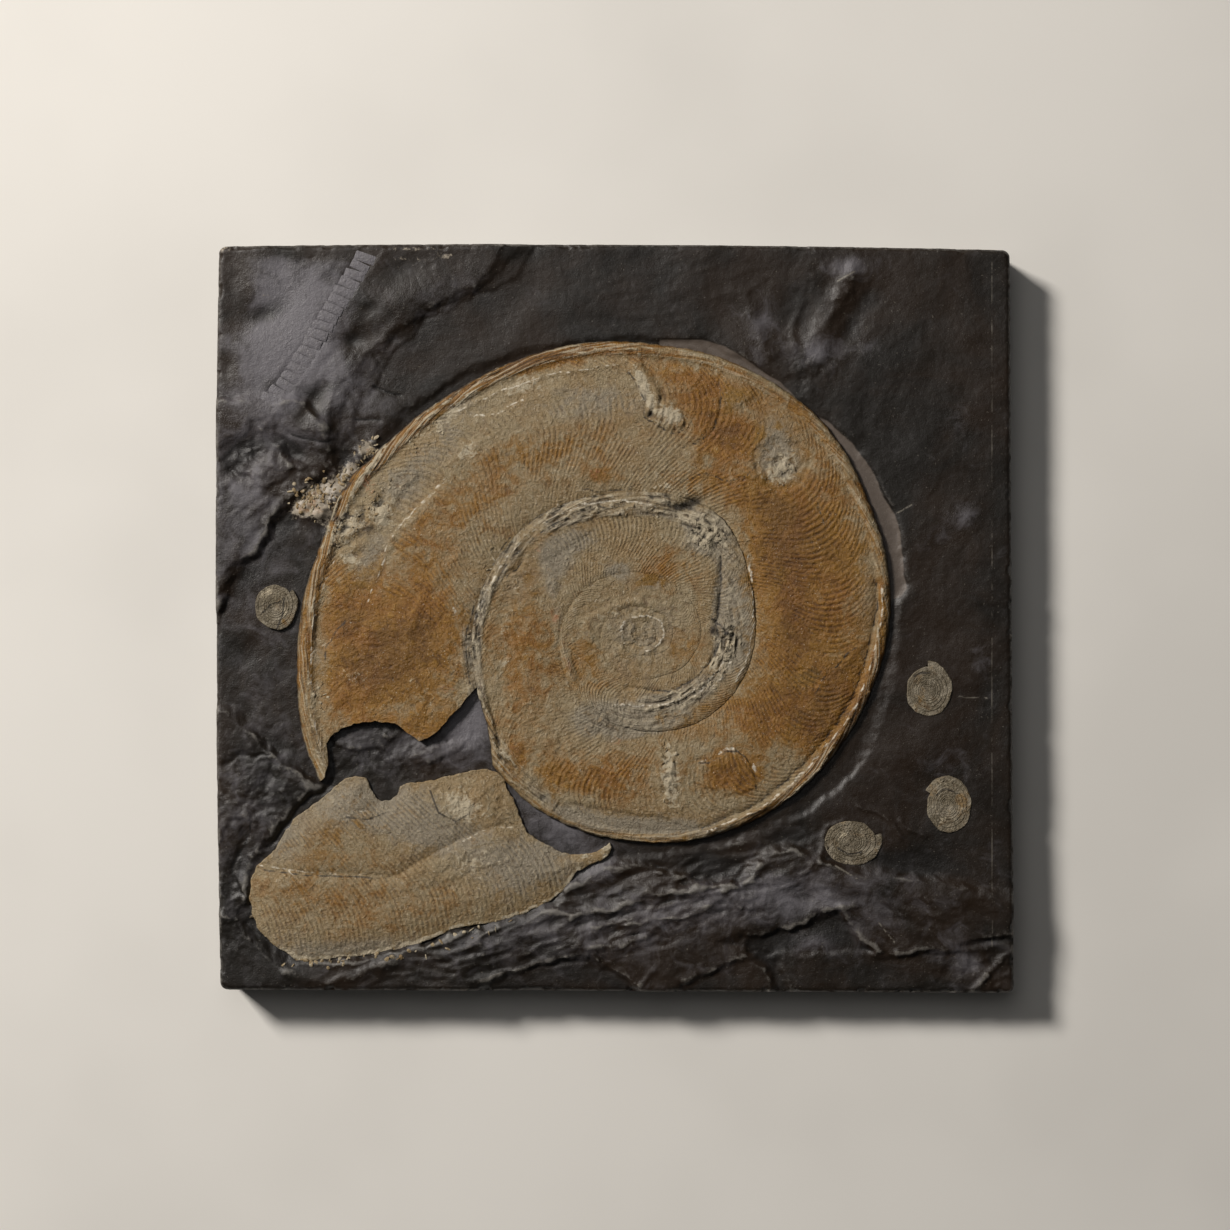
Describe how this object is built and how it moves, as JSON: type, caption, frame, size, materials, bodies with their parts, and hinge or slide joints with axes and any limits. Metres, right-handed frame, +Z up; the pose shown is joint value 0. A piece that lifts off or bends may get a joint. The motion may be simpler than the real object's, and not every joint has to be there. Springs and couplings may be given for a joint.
{
  "type": "ammonite in matrix",
  "caption": "Flat sawn slab of dark shale with a large coiled ammonite in relief, the broken end of its shell and small ammonites beside it; lies on its sawn back.",
  "frame": {"origin": "middle of the sawn back of the slab, which rests on the floor", "axes": "+Z up out of the fossil face, +X along the slab's long side towards the right of the face, +Y towards its upper edge"},
  "size_m": [0.3629, 0.3406, 0.0279],
  "materials": {
    "shale": "satin",
    "shell": "satin",
    "pale_shell": "matte"
  },
  "bodies": {
    "root": {"shale_slab": "shale", "ammonite_coil": "shell", "body_chamber_fragment": "shell", "small_ammonite_left": "pale_shell", "small_ammonite_right": "pale_shell", "small_ammonite_lower_right": "pale_shell", "small_ammonite_bottom": "pale_shell"}
  },
  "joints": []
}
